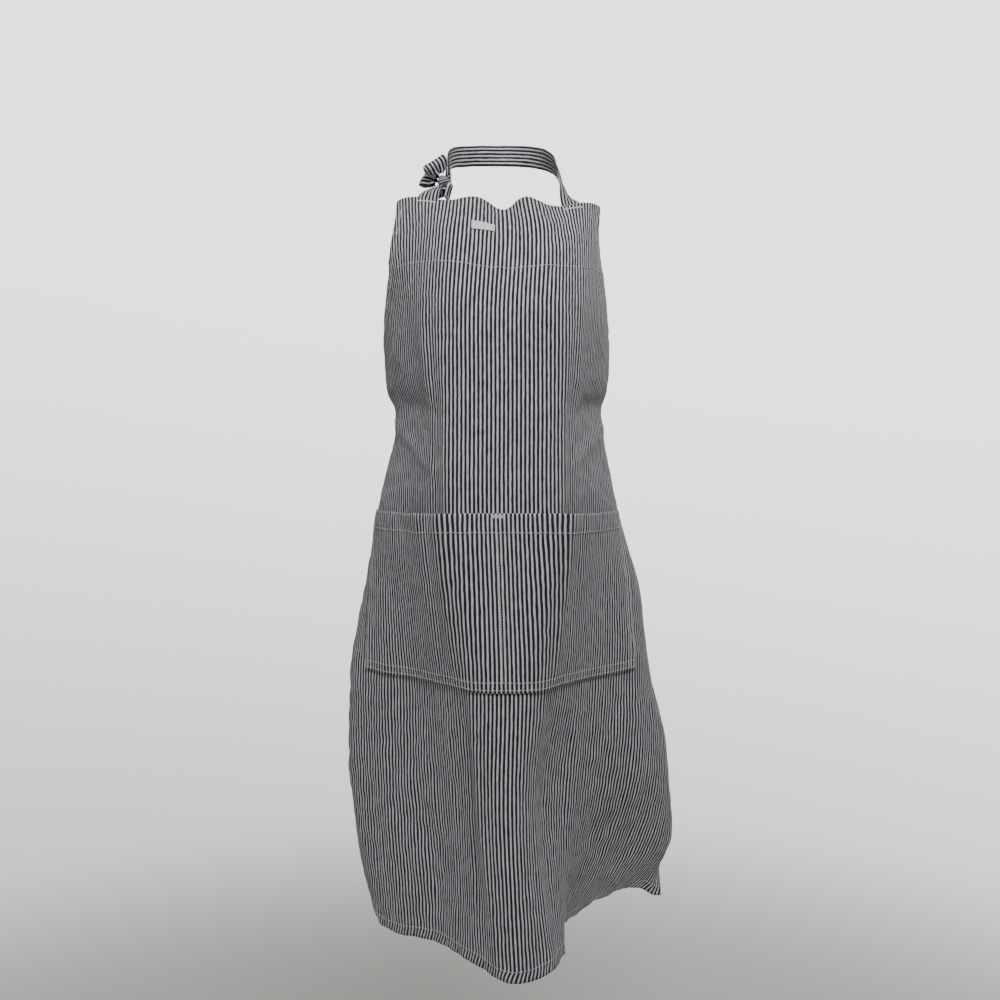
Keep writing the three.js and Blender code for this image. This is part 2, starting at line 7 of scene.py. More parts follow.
import bpy
import numpy as np
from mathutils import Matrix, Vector


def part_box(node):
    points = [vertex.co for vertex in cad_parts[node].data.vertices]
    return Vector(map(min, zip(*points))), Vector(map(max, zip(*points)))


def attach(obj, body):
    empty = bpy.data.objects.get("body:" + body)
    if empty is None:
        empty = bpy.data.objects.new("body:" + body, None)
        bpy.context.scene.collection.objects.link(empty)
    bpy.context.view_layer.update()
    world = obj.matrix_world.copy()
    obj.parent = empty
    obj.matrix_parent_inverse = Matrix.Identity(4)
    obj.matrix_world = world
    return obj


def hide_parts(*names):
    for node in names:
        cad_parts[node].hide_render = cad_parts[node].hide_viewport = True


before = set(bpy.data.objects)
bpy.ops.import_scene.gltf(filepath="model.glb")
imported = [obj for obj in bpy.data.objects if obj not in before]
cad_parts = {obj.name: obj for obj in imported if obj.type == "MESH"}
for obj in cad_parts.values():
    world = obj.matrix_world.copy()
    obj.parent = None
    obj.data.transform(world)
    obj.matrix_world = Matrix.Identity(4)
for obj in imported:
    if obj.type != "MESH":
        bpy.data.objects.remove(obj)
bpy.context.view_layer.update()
MM = 0.001

# ---- Camera ----
# Level with the pocket's mouth, a little over a metre from the front of the apron, with
# the wide view of a phone.
camera_lens = 36.0
camera_height = -0.430
camera_distance = 1.250

camera_data = bpy.data.cameras.new("camera")
camera_data.lens = camera_lens
camera_data.sensor_width = 36.0
camera = bpy.data.objects.new("camera", camera_data)
camera.location = (0.0, -camera_distance, camera_height)
camera.rotation_euler = (math.pi / 2, 0.0, 0.0)
bpy.context.scene.collection.objects.link(camera)
bpy.context.scene.camera = camera

# ---- Room ----
# A plain pale floor well below the hem, and soft lights: one above and in front, a weaker
# one at the left and a broad one behind. The pale room grows darker towards the floor.
floor_height = -1.50
floor_radius = 2.3
floor_fade = 0.9
room_light = 0.2
backdrop_light = 2.7
room_lean = 0.16  # the room is brighter towards the right
floor_sides = 96


def linear(code):
    """A colour given as sRGB hex, as the linear value that a shader takes."""
    parts = [int(code[i:i + 2], 16) / 255 for i in (0, 2, 4)]
    return [c / 12.92 if c <= 0.04045 else ((c + 0.055) / 1.055) ** 2.4 for c in parts] + [1.0]


def add(tree, kind, inputs=None, **settings):
    """Adds a node with its settings and with its inputs set or linked."""
    node = tree.nodes.new(kind)
    for name, value in settings.items():
        setattr(node, name, value)
    for name, value in (inputs or {}).items():
        if isinstance(value, bpy.types.NodeSocket):
            tree.links.new(value, node.inputs[name])
        else:
            node.inputs[name].default_value = value
    return node


def new_material(name):
    """A material with an empty node tree and its output node."""
    material = bpy.data.materials.new(name)
    material.use_nodes = True
    material.node_tree.nodes.clear()
    return material, material.node_tree, add(material.node_tree, "ShaderNodeOutputMaterial")


def maths(tree, operation, *values):
    """One sum on numbers or sockets."""
    return add(tree, "ShaderNodeMath", dict(enumerate(values)), operation=operation).outputs[0]


def mixed(tree, share, first, second):
    """A colour between two colours."""
    return add(tree, "ShaderNodeMix", {
        "Factor": share, "A": first, "B": second,
    }, data_type="RGBA").outputs["Result"]


def mesh_object(name, points, faces):
    mesh = bpy.data.meshes.new(name)
    mesh.from_pydata([tuple(p) for p in points], [], [tuple(f) for f in faces])
    piece = bpy.data.objects.new(name, mesh)
    bpy.context.scene.collection.objects.link(piece)
    return piece


turns = np.linspace(0, 2 * math.pi, floor_sides, endpoint=False)
floor = mesh_object(
    "floor",
    [(floor_radius * math.cos(a), floor_radius * math.sin(a), floor_height) for a in turns],
    [range(len(turns))],
)
material, tree, output = new_material("painted_floor")
place = add(tree, "ShaderNodeTexCoord").outputs["Object"]
spread = add(tree, "ShaderNodeVectorMath", {0: place, 1: (1, 1, 0)}, operation="MULTIPLY")
reach = add(tree, "ShaderNodeVectorMath", {0: spread.outputs[0]}, operation="LENGTH")
fade = add(tree, "ShaderNodeMapRange", {
    "Value": reach.outputs["Value"], "From Min": floor_fade, "From Max": floor_radius,
}, interpolation_type="SMOOTHSTEP")
paint = add(tree, "ShaderNodeBsdfPrincipled", {"Base Color": linear("eeece8"), "Roughness": 0.8})
clear = add(tree, "ShaderNodeBsdfTransparent")
shown = add(tree, "ShaderNodeMixShader", {
    0: fade.outputs[0], 1: paint.outputs[0], 2: clear.outputs[0],
})
tree.links.new(shown.outputs[0], output.inputs["Surface"])
floor.data.materials.append(material)

world = bpy.data.worlds.new("pale_room")
bpy.context.scene.world = world
world.use_nodes = True
tree = world.node_tree
tree.nodes.clear()
direction = add(tree, "ShaderNodeTexCoord").outputs["Generated"]
upward = add(tree, "ShaderNodeVectorMath", {
    0: direction, 1: (room_lean, 0, 1),
}, operation="DOT_PRODUCT")
shade = add(tree, "ShaderNodeMapRange", {
    "Value": upward.outputs["Value"], "From Min": -0.55, "From Max": 0.25,
}, interpolation_type="SMOOTHSTEP")
tone = mixed(tree, shade.outputs[0], linear("9b9995"), linear("f6f5f2"))
seen = add(tree, "ShaderNodeLightPath").outputs["Is Camera Ray"]
strength = add(tree, "ShaderNodeMapRange", {
    "Value": seen, "To Min": room_light, "To Max": backdrop_light,
})
sky = add(tree, "ShaderNodeBackground", {
    "Color": tone, "Strength": strength.outputs[0],
})
add(tree, "ShaderNodeOutputWorld", {"Surface": sky.outputs[0]})


def soft_light(name, place, target, size, power):
    data = bpy.data.lights.new(name, "AREA")
    data.shape = "SQUARE"
    data.size = size
    data.energy = power
    lamp = bpy.data.objects.new(name, data)
    lamp.location = place
    aim = np.subtract(target, place)
    lamp.rotation_euler = Vector(aim).to_track_quat("-Z", "Y").to_euler()
    bpy.context.scene.collection.objects.link(lamp)


soft_light("key_light", (0.15, -1.2, 0.75), (0, -0.15, -0.2), 0.6, 18.5)
soft_light("fill_light", (-1.4, -1.3, 0.35), (0, -0.1, -0.25), 1.0, 4.2)
soft_light("back_light", (0.9, 1.9, 0.6), (0, 0.0, -0.5), 1.2, 20)

# ---- Body panel ----
# One cut of cotton drill, bib and skirt together, with narrow hems turned to the inside on
# every edge. It hangs from the neck strap, runs straight down the front in one broad fold
# and is drawn round to the back by the ties, so its shape is drawn as plan outlines.
panel_width = 690
panel_length = 864
bib_width = 280
armhole_drop = 270
armhole_curve = 2.1
bib_top_drop = 99
yoke_drop = 60
bust_drop = 140
waist_drop = 255
facing_depth = 97
bib_sag = 13
bib_sag_shift = 12
bib_sag_foot = 320
skirt_sag = {"left": 10, "right": 26}
skirt_sag_start = 120
skirt_sag_whole = 240
pocket_drop = 370
pocket_height = 189
hem_depth = 12
side_hem_depth = 9
cloth_thickness = 0.9
hem_thickness = 2.0

# Drop down the cloth, front centre, then the points out to the left and to the right.
outlines = [
    (0, (5, -126),
     [(-31, -141), (-70, -126), (-97, -114), (-118, -97), (-138, -38), (-122, 5), (-40, 25)],
     [(30, -141), (72, -119), (100, -103), (113, -87), (128, -36), (114, 5), (40, 25)]),
    (yoke_drop, (6, -170),
     [(-49, -177), (-91, -148), (-127, -116), (-144, -54), (-122, 0), (-60, 24), (20, 24)],
     [(49, -176), (90, -146), (116, -96), (129, -50), (114, 0), (60, 24), (-20, 24)]),
    (bust_drop, (2, -197),
     [(-58, -193), (-104, -142), (-139, -68), (-122, -6), (-60, 24), (20, 24)],
     [(66, -193), (104, -142), (128, -68), (114, -6), (60, 24), (-20, 24)]),
    (0.3 * bust_drop + 0.7 * waist_drop, (2, -198),
     [(-57, -193), (-97, -138), (-134, -65), (-116, -5), (-56, 23), (20, 23)],
     [(64, -193), (98, -140), (128, -65), (112, -5), (56, 23), (-20, 23)]),
    (waist_drop, (2, -198),
     [(-54, -194), (-91, -136), (-123, -62), (-106, -4), (-50, 22), (20, 22)],
     [(61, -194), (92, -138), (120, -62), (104, -4), (50, 22), (-20, 22)]),
    (pocket_drop, (2, -200),
     [(-52, -195), (-96, -133), (-145, -60), (-136, -8), (-84, 26), (0, 30)],
     [(60, -195), (96, -136), (140, -60), (134, -8), (84, 26), (0, 30)]),
    (pocket_drop + 0.45 * pocket_height, (5, -200),
     [(-40, -196), (-94, -126), (-159, -52), (-154, -2), (-100, 30), (-10, 32)],
     [(50, -196), (96, -127), (161, -52), (163, -4), (120, 28), (24, 32)]),
    (pocket_drop + pocket_height, (8, -200),
     [(-25, -195), (-94, -114), (-179, -40), (-173, 4), (-118, 32), (-30, 34)],
     [(38, -195), (99, -116), (175, -40), (180, 2), (148, 30), (60, 34)]),
    (0.6 * (pocket_drop + pocket_height) + 0.4 * panel_length, (6, -200),
     [(-18, -189), (-53, -136), (-118, -84), (-182, -30), (-176, 10), (-124, 32), (-40, 34)],
     [(25, -192), (55, -138), (122, -78), (200, -22), (208, 8), (180, 32), (100, 34)]),
    (0.26 * (pocket_drop + pocket_height) + 0.74 * panel_length, (10, -201),
     [(-18, -178), (-58, -119), (-120, -76), (-171, -28), (-169, 8), (-120, 30), (-40, 32)],
     [(33, -190), (60, -142), (92, -72), (134, -24), (202, 0), (218, 18), (190, 36)]),
    (panel_length, (14, -201),
     [(-30, -158), (-76, -100), (-124, -64), (-156, -18), (-148, 14), (-104, 30), (-40, 32)],
     [(52, -184), (71, -146), (70, -60), (98, -14), (150, 18), (208, 26), (280, 28)]),
]


def smooth_curve(points, steps):
    """A centripetal Catmull-Rom curve through the points, `steps` to each span."""
    points = np.asarray(points, float)
    ends = [2 * points[:1] - points[1:2], points, 2 * points[-1:] - points[-2:-1]]
    p = np.vstack(ends)
    t = np.linspace(0, 1, steps, endpoint=False)[:, None]
    spans = []
    for k in range(1, len(p) - 2):
        p0, p1, p2, p3 = p[k - 1:k + 3]
        a, b, c = (np.linalg.norm(np.diff(p[k - 1:k + 3], axis=0), axis=1) + 1e-12) ** 0.5
        start = ((p1 - p0) / a - (p2 - p0) / (a + b) + (p2 - p1) / b) * b
        finish = ((p2 - p1) / b - (p3 - p1) / (b + c) + (p3 - p2) / c) * b
        cubic = 2 * (p1 - p2) + start + finish
        square = 3 * (p2 - p1) - 2 * start - finish
        spans.append(p1 + start * t + square * t ** 2 + cubic * t ** 3)
    return np.vstack(spans + [points[-1:]])


def plan_points(outline, acrosses):
    """Where the cloth lies in plan, at each distance across it from the front centre."""
    _, centre, left, right = outline
    steps = 60
    line = smooth_curve(left[::-1] + [centre] + right, steps)
    along = np.concatenate([[0], np.cumsum(np.linalg.norm(np.diff(line, axis=0), axis=1))])
    along -= along[steps * len(left)]
    plan = np.stack([np.interp(acrosses, along, line[:, k]) for k in (0, 1)], axis=-1)
    for end, inner, past in ((0, 1, acrosses < along[0]), (-1, -2, acrosses > along[-1])):
        heading = (line[end] - line[inner]) / np.linalg.norm(line[end] - line[inner])
        beyond = np.abs(acrosses - along[end])[:, None]
        plan = np.where(past[:, None], line[end] + heading * beyond, plan)
    return plan


def between_outlines(values, drops, wanted):
    """Smooth values at the wanted drops, from one row of values at each outline."""
    last = len(drops) - 1
    low = np.maximum(np.arange(last + 1) - 1, 0)
    high = np.minimum(np.arange(last + 1) + 1, last)
    width = (drops[high] - drops[low])[:, None, None]
    slopes = (values[high] - values[low]) / width
    k = np.clip(np.searchsorted(drops, wanted, side="left") - 1, 0, last - 1)
    span = (drops[k + 1] - drops[k])[:, None, None]
    f = (wanted - drops[k])[:, None, None] / span
    rise = values[k + 1] - values[k]
    a = slopes[k] * span - rise
    b = rise - slopes[k + 1] * span
    return values[k] + rise * f + f * (1 - f) * (a * (1 - f) + b * f)


table_step = 4.0
table_across = np.arange(-360, 361, table_step)
table_drop = np.arange(0, panel_length + table_step, table_step)
outline_drops = np.array([o[0] for o in outlines], float)
plans = np.stack([plan_points(o, table_across) for o in outlines])
plan_table = between_outlines(plans, outline_drops, table_drop)

# The cloth doesn't stretch, so where its plan moves out or in it falls less.
slide = np.linalg.norm(np.diff(plan_table, axis=0), axis=2)
fall = np.sqrt(table_step ** 2 - np.minimum(slide, 0.8 * table_step) ** 2)
fallen = np.vstack([np.zeros((1, len(table_across))), np.cumsum(fall, axis=0)])
middle = len(table_across) // 2
at_waist = np.array([np.interp(waist_drop, table_drop, column) for column in fallen.T])
height_table = -bib_top_drop - at_waist[middle] - (fallen - at_waist)


def ramp(value, low, high):
    f = np.clip((value - low) / (high - low), 0, 1)
    return f * f * (3 - 2 * f)


# The strap pulls the bib's corners up, so the cloth between them hangs a little lower, and
# the skirt's front is thrown forward, so its sides hang lower too.
sag_across = np.clip(1 - ((table_across - bib_sag_shift) / (bib_width / 2)) ** 2, 0, 1) ** 2
past_facing = np.clip((table_drop - facing_depth) / (bib_sag_foot - facing_depth), 0, 1)
sag_down = np.where(table_drop < facing_depth, 0.3 + 0.7 * table_drop / facing_depth,
                    (1 + np.cos(math.pi * past_facing)) / 2)
height_table = height_table - bib_sag * sag_down[:, None] * sag_across
side_fall = np.where(table_across < 0, skirt_sag["left"], skirt_sag["right"])
side_fall = side_fall * ramp(np.abs(table_across), skirt_sag_start, skirt_sag_whole)
skirt_down = ramp(table_drop, pocket_drop + pocket_height, panel_length)
height_table = height_table - skirt_down[:, None] * side_fall
worn_table = np.dstack([plan_table, height_table])


def sample(grid, row, column):
    """Values of a grid at fractional rows and columns, smooth across its cells."""
    def weights(f):
        return [-f / 2 + f * f - f ** 3 / 2, 1 - 2.5 * f * f + 1.5 * f ** 3,
                f / 2 + 2 * f * f - 1.5 * f ** 3, -f * f / 2 + f ** 3 / 2]
    row = np.clip(np.asarray(row, float), 0, grid.shape[0] - 1)
    column = np.clip(np.asarray(column, float), 0, grid.shape[1] - 1)
    j = np.minimum(row.astype(int), grid.shape[0] - 2)
    i = np.minimum(column.astype(int), grid.shape[1] - 2)
    down = weights(row - j)
    over = weights(column - i)
    total = 0
    for a in range(4):
        for b in range(4):
            jj = np.clip(j + a - 1, 0, grid.shape[0] - 1)
            ii = np.clip(i + b - 1, 0, grid.shape[1] - 1)
            total = total + (down[a] * over[b])[..., None] * grid[jj, ii]
    return total


def worn_point(across, drop):
    column = (np.asarray(across) - table_across[0]) / table_step
    return sample(worn_table, np.asarray(drop) / table_step, column)


def half_width(drop):
    share = np.minimum(np.asarray(drop, float) / armhole_drop, 1) ** armhole_curve
    return bib_width / 2 + (panel_width - bib_width) / 2 * share


def flat_grid(shares, drops):
    """Places across and down the flat cut, at shares of its half width and at drops."""
    share, drop = np.meshgrid(shares, drops)
    return half_width(drop) * share, drop


def grid_faces(rows, columns):
    j, i = np.meshgrid(np.arange(rows - 1), np.arange(columns - 1), indexing="ij")
    a = (j * columns + i).ravel()
    return np.stack([a, a + columns, a + columns + 1, a + 1], axis=1)


def normals_of(grid):
    """Outward directions at the points of a grid."""
    across = np.gradient(grid, axis=1)
    down = np.gradient(grid, axis=0)
    normal = np.cross(down, across)
    return normal / np.maximum(np.linalg.norm(normal, axis=2, keepdims=True), 1e-12)


settle_frames = 36
settle_limit = 9.0
point_mass = 0.006
held_share = 0.2
skirt_freedom = 0.08


def settle(points, flat, hold):
    """Lets the cloth settle under its own weight from a drawn shape, with each point drawn
    back to its place by its share of hold. Its springs have the lengths of the flat cut."""
    rows, columns = points.shape[:2]
    piece = mesh_object("settling", points.reshape(-1, 3) * MM, grid_faces(rows, columns))
    piece.shape_key_add(name="worn")
    cut = piece.shape_key_add(name="flat")
    cut.data.foreach_set("co", (flat.reshape(-1, 3) * MM).ravel())
    group = piece.vertex_groups.new(name="hold")
    for k, weight in enumerate(hold.ravel()):
        group.add([k], float(weight), "REPLACE")
    modifier = piece.modifiers.new("cloth", "CLOTH")
    settings = modifier.settings
    settings.quality = 6
    settings.mass = point_mass
    settings.air_damping = 2.0
    settings.tension_stiffness = 12
    settings.compression_stiffness = 12
    settings.shear_stiffness = 4
    settings.bending_stiffness = 0.4
    settings.vertex_group_mass = "hold"
    settings.pin_stiffness = 1.0
    settings.rest_shape_key = cut
    modifier.collision_settings.use_collision = False
    modifier.point_cache.frame_start = 1
    modifier.point_cache.frame_end = settle_frames
    scene = bpy.context.scene
    for number in range(1, settle_frames + 1):
        scene.frame_set(number)
    shown_piece = piece.evaluated_get(bpy.context.evaluated_depsgraph_get())
    result = np.empty(rows * columns * 3, np.float32)
    shown_piece.data.vertices.foreach_get("co", result)
    scene.frame_set(1)
    mesh = piece.data
    bpy.data.objects.remove(piece)
    bpy.data.meshes.remove(mesh)
    return result.reshape(rows, columns, 3).astype(float) / MM


def waver(across, drop, period, seed):
    """A smooth, uneven ripple between -1 and 1 with about one wave to a period."""
    rng = np.random.default_rng(seed)
    total = 0
    for _ in range(4):
        angle = rng.uniform(0, 2 * math.pi)
        stretch = rng.uniform(0.75, 1.35)
        phase = rng.uniform(0, 2 * math.pi)
        along = across * math.cos(angle) + drop * math.sin(angle)
        total = total + np.sin(2 * math.pi * along / (period * stretch) + phase)
    return total / 4


# Creases that wearing and folding have left: each runs from one place on the flat cut to
# another, with a width and a height, and those below nothing are valleys.
creases = [
    ((6, 20), (2, 92), 11, -2.6), ((10, 66), (-50, 160), 5, 3.4), ((-4, 84), (-62, 182), 8, -2.6),
    ((22, 58), (64, 132), 8, 1.3), ((-70, 20), (-16, 66), 9, -1.4), ((92, 24), (40, 78), 9, -1.4),
    ((-96, 92), (-92, 250), 12, 2.0), ((100, 90), (94, 250), 12, 2.0),
    ((-210, 262), (-82, 322), 10, 2.4), ((-176, 236), (-88, 262), 8, -2.0),
    ((214, 268), (88, 318), 10, 2.4), ((180, 238), (94, 268), 8, -2.0),
    ((-66, 200), (-58, 560), 7, 1.5), ((72, 200), (58, 560), 7, 1.5),
    ((-84, 180), (-76, 560), 9, -2.6), ((90, 180), (76, 560), 9, -2.6),
    ((-44, 560), (-20, 864), 7, 2.2), ((44, 560), (48, 864), 7, 1.6),
    ((-60, 560), (-38, 864), 10, -3.0), ((-96, 570), (-84, 864), 15, 2.6),
    ((-150, 590), (-128, 864), 13, -2.6), ((-196, 520), (-186, 864), 14, 2.4),
    ((60, 580), (78, 864), 12, -2.4), ((118, 560), (132, 864), 14, 2.6),
    ((168, 600), (176, 864), 12, -2.2), ((222, 560), (214, 850), 14, 2.6),
    ((-118, 640), (-206, 720), 9, 1.6), ((132, 660), (226, 612), 9, 1.6),
    ((150, 760), (240, 716), 9, -1.6), ((-246, 640), (-300, 800), 12, 2.2),
]


def creased(across, drop):
    """How far the worn cloth stands in or out of its smooth shape: broad ripples, looser
    ones at the sides, a rumpled skirt and the creases above."""
    total = 0.55 * waver(across, drop * 0.6, 52, 101) + 0.3 * waver(across, drop, 23, 102)
    loose = ramp(np.abs(across), 60, 150)
    total = total + loose * (0.9 * waver(across, drop * 0.8, 58, 103)
                             + 0.45 * waver(across, drop, 27, 104))
    rumpled = ramp(drop, 520, 640) * ramp(np.abs(across), 30, 90)
    total = total + rumpled * (0.75 * waver(across, drop * 0.7, 17, 105)
                               + 0.5 * waver(across * 0.6, drop, 13, 106))
    for (s0, t0), (s1, t1), width, height in creases:
        run = np.array([s1 - s0, t1 - t0], float)
        length = np.linalg.norm(run)
        run /= length
        along = (across - s0) * run[0] + (drop - t0) * run[1]
        aside = (across - s0) * run[1] - (drop - t0) * run[0]
        aside = aside + 0.35 * width * np.sin(along / length * 5.0 + s0)
        ends = ramp(along, -0.25 * length, 0.3 * length)
        ends = ends * ramp(length - along, -0.2 * length, 0.3 * length)
        total = total + height * ends * np.exp(-(aside / width) ** 2)
    return total


cloth_columns = 96
cloth_rows = 112
cloth_shares = np.linspace(-1, 1, cloth_columns + 1)
cloth_drops = np.linspace(0, panel_length, cloth_rows + 1)
across_grid, drop_grid = flat_grid(cloth_shares, cloth_drops)
drawn = worn_point(across_grid, drop_grid)
drawn += normals_of(drawn) * creased(across_grid, drop_grid)[..., None]

flat_cut = np.dstack([across_grid, np.zeros_like(drop_grid), -drop_grid])
hold = np.full(drop_grid.shape, held_share)
free_skirt = np.clip((drop_grid - pocket_drop) / (panel_length - pocket_drop), 0, 1)
hold -= skirt_freedom * free_skirt
strap_corner = (drop_grid < 16) & (np.abs(cloth_shares) > 0.68)
tie_corner = (np.abs(drop_grid - armhole_drop - 12) < 14) & (np.abs(cloth_shares) > 0.95)
hold[strap_corner | tie_corner] = 1.0
moved = settle(drawn, flat_cut, hold) - drawn
reach = np.linalg.norm(moved, axis=2, keepdims=True)
settled = drawn + moved * np.minimum(1, settle_limit / np.maximum(reach, 1e-9))
print("settled: moved up to", reach.max().round(1), "mm, mean", reach.mean().round(2), "mm")

settled_normals = normals_of(settled)


def on_cloth(across, drop, out=0.0):
    """Points on the panel's outer face, `out` millimetres proud of it."""
    column = (np.asarray(across) / half_width(drop) + 1) / 2 * cloth_columns
    row = np.asarray(drop, float) / panel_length * cloth_rows
    place = sample(settled, row, column)
    normal = sample(settled_normals, row, column)
    normal /= np.linalg.norm(normal, axis=-1, keepdims=True)
    return place + normal * np.asarray(out)[..., None]


def lay_uv(mesh, uv):
    """Gives each corner of a mesh the UV of its point, from millimetres to metres."""
    vertex = np.empty(len(mesh.loops), int)
    mesh.loops.foreach_get("vertex_index", vertex)
    corners = (np.asarray(uv) * MM)[vertex].astype(np.float32)
    mesh.uv_layers.new(name="cut").uv.foreach_set("vector", corners.ravel())


def closed_cloth(name, outer, inner, uv):
    """A closed piece of cloth from the grids of its outer and inner faces. Its UV map holds
    the place on the flat cut in metres, which the woven stripes follow."""
    rows, columns = outer.shape[:2]
    count = rows * columns
    front = grid_faces(rows, columns)
    back = front[:, ::-1] + count
    edge = np.concatenate([
        np.arange(rows - 1) * columns,
        (rows - 1) * columns + np.arange(columns - 1),
        np.arange(rows - 1, 0, -1) * columns + columns - 1,
        np.arange(columns - 1, 0, -1),
    ])
    after = np.roll(edge, -1)
    rim = np.stack([edge + count, after + count, after, edge], axis=1)
    points = np.concatenate([outer.reshape(-1, 3), inner.reshape(-1, 3)]) * MM
    piece = mesh_object(name, points, np.vstack([front, back, rim]))
    piece.data.shade_smooth()
    lay_uv(piece.data, np.concatenate([uv.reshape(-1, 2)] * 2))
    return piece


def hem_share(from_hem, from_side):
    """1 where the turned hems double the cloth and 0 elsewhere."""
    return np.maximum(ramp(hem_depth + 1.5 - from_hem, 0, 3),
                      ramp(side_hem_depth + 1 - from_side, 0, 3))


fine = 2
fine_across, fine_drop = flat_grid(
    np.linspace(-1, 1, fine * cloth_columns + 1),
    np.linspace(0, panel_length, fine * cloth_rows + 1),
)
from_side = half_width(fine_drop) - np.abs(fine_across)
from_hem = panel_length - fine_drop
near_foot = ramp(hem_depth + 8 - from_hem, 0, 14)
near_side = ramp(side_hem_depth + 6 - from_side, 0, 10)
pucker = 0.5 * waver(fine_across, fine_drop * 0.3, 9, 3) * near_foot
pucker += 0.4 * waver(fine_across * 0.3, fine_drop, 9, 4) * near_side
in_hem = hem_share(from_hem, from_side)
outer_face = on_cloth(fine_across, fine_drop, pucker + 0.25 * in_hem)
inner_face = on_cloth(
    fine_across, fine_drop, pucker - cloth_thickness - (hem_thickness - cloth_thickness) * in_hem,
)
roping = 3.5 * ramp(hem_depth - from_hem, 0, hem_depth)
roping += 1.2 * waver(fine_across, fine_drop * 0, 60, 8)
uv_across = fine_across + roping * ramp(hem_depth - from_hem, 0, 3)
body_panel = closed_cloth(
    "apron_body", outer_face, inner_face, np.dstack([uv_across, fine_drop]),
)

# Cotton drill with dyed yarns: soft-edged white and charcoal stripes of one width. The
# yarns vary a little in thickness, so each stripe's edge wanders and its tone is uneven,
# and washing has greyed the dark yarn. Painted shade darkens the twill's grooves and painted light
# brightens its ribs. The surface is matt with a faint fuzz.
stripe_repeat = 4.5
white_share = 0.42
stripe_blur = 0.045
twill_angle = 58
yarn_spacing = 0.9  # the real 0.45 mm is too fine to show, so it is drawn twice as coarse


def scaled(tree, place, across, along, turn=0.0):
    """A place on the flat cut, in steps of this many millimetres across and along."""
    return add(tree, "ShaderNodeMapping", {
        "Vector": place, "Scale": (1 / (across * MM), 1 / (along * MM), 1),
        "Rotation": (0, 0, turn),
    }).outputs[0]


def noise(tree, place, scale=1.0, detail=2.0, roughness=0.5):
    return add(tree, "ShaderNodeTexNoise", {
        "Vector": place, "Scale": scale, "Detail": detail, "Roughness": roughness,
    }).outputs["Fac"]


def surface(tree, output, colour, relief, strength, depth, values):
    """Finishes a material: its colour, a fine relief `depth` millimetres deep, the rest."""
    bump = add(tree, "ShaderNodeBump", {
        "Height": relief, "Strength": strength, "Distance": depth * MM,
    })
    coat = add(tree, "ShaderNodeBsdfPrincipled", {
        "Base Color": colour, "Normal": bump.outputs[0], **values,
    })
    tree.links.new(coat.outputs[0], output.inputs["Surface"])


def striped_cotton(name, shift=0.0):
    material, tree, output = new_material(name)
    cut = add(tree, "ShaderNodeUVMap", uv_map="cut").outputs["UV"]
    moved = add(tree, "ShaderNodeMapping", {
        "Vector": cut, "Location": (shift * MM, 0, 0),
    }).outputs[0]
    apart = add(tree, "ShaderNodeSeparateXYZ", {0: moved})
    slub = noise(tree, scaled(tree, moved, 0.7, 14), 1.0, 3.0, 0.6)
    lean = maths(tree, "MULTIPLY_ADD", slub, 0.34, -0.17)
    count = maths(tree, "MULTIPLY_ADD", apart.outputs["X"], 1 / (stripe_repeat * MM), lean)
    place = maths(tree, "PINGPONG", count, 0.5)
    stripe = add(tree, "ShaderNodeMapRange", {
        "Value": place, "From Min": white_share / 2 - stripe_blur,
        "From Max": white_share / 2 + stripe_blur, "To Min": 1.0, "To Max": 0.0,
    }, interpolation_type="SMOOTHSTEP")
    twill = add(tree, "ShaderNodeTexWave", {
        "Vector": scaled(tree, moved, 1, 1, math.radians(twill_angle)),
        "Scale": 1 / (yarn_spacing * 3.2),
        "Distortion": 0.6, "Detail": 1.0, "Detail Scale": 2.0,
    }, bands_direction="X")
    wash = noise(tree, scaled(tree, moved, 45, 110), 1.0, 4.0, 0.65)
    dark = mixed(tree, wash, linear("16171b"), linear("303137"))
    light = mixed(tree, slub, linear("d2d4dd"), linear("f1f2f9"))
    both = mixed(tree, stripe.outputs[0], dark, light)
    # Painted light and shade on the twill: the colour is scaled darker in the grooves and lighter
    # on the ribs, following the same waves as the relief.
    shade = add(tree, "ShaderNodeMapRange", {
        "Value": twill.outputs["Fac"], "To Min": 0.86, "To Max": 1.06,
    })
    woven = add(tree, "ShaderNodeVectorMath", {
        0: both, "Scale": shade.outputs[0],
    }, operation="SCALE")
    relief = maths(tree, "ADD", twill.outputs["Fac"], slub)
    surface(tree, output, woven.outputs[0], relief, 0.5, 0.25, {
        "Roughness": 0.92, "Sheen Weight": 0.18, "Sheen Roughness": 0.5,
        "Specular IOR Level": 0.25,
    })
    return material


def stands_for(piece, nodes, material=None, body="apron"):
    """Gives a piece its material and body, and hides the nodes it replaces."""
    if material:
        piece.data.materials.append(material)
    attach(piece, body)
    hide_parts(*nodes)


body_cotton = striped_cotton("striped_cotton_drill")
stands_for(body_panel, ["body_panel"], body_cotton)

# ---- Bib facing ----
# A second layer inside the top of the bib, sewn down along its foot, which stiffens the
# bib and takes the pull of the neck strap.
facing_across, facing_drop = flat_grid(
    np.linspace(-0.985, 0.985, 97), np.linspace(1.0, facing_depth, 22))
facing_gap = 0.3
facing_thickness = 0.8
facing_out = -cloth_thickness - facing_gap - 1.3 * ramp(
    side_hem_depth + 1 - (half_width(facing_drop) - np.abs(facing_across)), 0, 3)
facing = closed_cloth(
    "bib_facing_cloth", on_cloth(facing_across, facing_drop, facing_out),
    on_cloth(facing_across, facing_drop, facing_out - facing_thickness),
    np.dstack([facing_across, facing_drop]),
)
stands_for(facing, ["bib_facing"], body_cotton)

# ---- Pocket ----
# One wide patch of the same cloth, hemmed along its mouth and sewn down the middle into
# two compartments. Each mouth gapes a little where hands have stretched it.
pocket_width = 434
pocket_shift = -5
pocket_hem_depth = 20
pocket_seam_inset = 4
pocket_gape = 11
pocket_seat = 0.7
pocket_left = pocket_shift - pocket_width / 2
pocket_right = pocket_shift + pocket_width / 2
pocket_foot = pocket_drop + pocket_height


